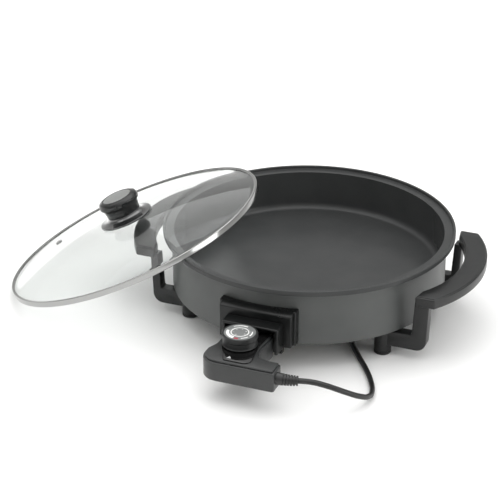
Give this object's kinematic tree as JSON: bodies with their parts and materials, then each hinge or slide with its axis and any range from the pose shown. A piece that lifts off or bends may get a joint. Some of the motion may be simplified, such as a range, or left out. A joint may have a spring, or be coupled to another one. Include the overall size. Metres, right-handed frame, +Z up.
{
  "type": "electric skillet",
  "caption": "Round electric skillet on footed handles, with a loose domed glass lid leaning on the rim and a plug-in thermostat controller with a dial and a mains cord",
  "frame": {"origin": "centre of the bounding box of everything but the cord, at table height", "axes": "+X towards the right handle, -Y towards the thermostat at the front, +Z up"},
  "size_m": [0.667, 0.6075, 0.1577],
  "materials": {
    "pan_coating": "satin non-stick coating on cast aluminium",
    "element_steel": "matt heating element sheath",
    "pin_nickel": "nickel plated",
    "guide_brass": "plain brass tube",
    "screw_steel": "zinc plated",
    "socket_black": "moulded phenolic",
    "handle_black": "moulded phenolic, fine texture",
    "pad_rubber": "matt rubber",
    "lid_glass": "clear tempered glass",
    "band_steel": "polished rolled band",
    "eyelet_steel": "pressed eyelet",
    "knob_black": "semi-gloss phenolic",
    "inlay_grey": "satin disc",
    "washer_silicone": "silicone",
    "controller_grey": "satin moulded plastic",
    "plate_black": "gloss black label plate",
    "switch_ceramic": "unglazed",
    "terminal_cream": "plain",
    "probe_steel": "stainless probe",
    "dial_grey": "satin moulded plastic",
    "dial_face_grey": "printed satin disc",
    "shaft_plastic": "plain",
    "relief_black": "moulded strain relief",
    "cord_black": "smooth cord jacket",
    "plug_black": "moulded plug"
  },
  "bodies": {
    "base": {"pan": "pan_coating", "heating_element": "element_steel", "terminal_pin_left": "pin_nickel", "terminal_pin_right": "pin_nickel", "probe_guide": "guide_brass", "socket_housing": "socket_black", "socket_screw_left": "screw_steel", "socket_screw_right": "screw_steel", "grip_left": "handle_black", "grip_right": "handle_black", "leg_front_left": "handle_black", "leg_front_right": "handle_black", "leg_back_left": "handle_black", "leg_back_right": "handle_black", "leg_screw_front_left": "screw_steel", "leg_screw_front_right": "screw_steel", "leg_screw_back_left": "screw_steel", "leg_screw_back_right": "screw_steel", "foot_pad_front_left": "pad_rubber", "foot_pad_front_right": "pad_rubber", "foot_pad_back_left": "pad_rubber", "foot_pad_back_right": "pad_rubber"},
    "lid": {"lid_glass": "lid_glass", "lid_band": "band_steel", "vent_eyelet": "eyelet_steel", "knob_base": "knob_black", "lid_knob": "knob_black", "knob_inlay": "inlay_grey", "knob_washer": "washer_silicone", "knob_screw": "screw_steel"},
    "controller": {"controller_tub": "controller_grey", "controller_cover": "controller_grey", "controller_screw_1": "screw_steel", "controller_screw_2": "screw_steel", "thermostat_switch": "switch_ceramic", "terminal_block": "terminal_cream", "contact_sleeve_left": "pin_nickel", "contact_sleeve_right": "pin_nickel", "probe_rod": "probe_steel", "dial_plate": "plate_black", "strain_relief": "relief_black", "power_cord": "cord_black", "cord_coil": "cord_black", "cord_tail": "cord_black", "plug_body": "plug_black", "plug_pin_left": "pin_nickel", "plug_pin_right": "pin_nickel"},
    "dial": {"dial_knob": "dial_grey", "dial_face": "dial_face_grey", "dial_shaft": "shaft_plastic"}
  },
  "joints": [
    {"name": "lid_lift", "type": "slide", "parent": "base", "child": "lid", "axis": [0, 0, 1], "range_m": [0, 0.2]},
    {"name": "controller_pull", "type": "slide", "parent": "base", "child": "controller", "axis": [0, -1, 0], "range_m": [0, 0.098]},
    {"name": "dial_turn", "type": "hinge", "parent": "controller", "child": "dial", "pos_m": [0.08409, -0.20035, 0.0653], "axis": [0, 0, -1], "range_deg": [0, 270]}
  ]
}
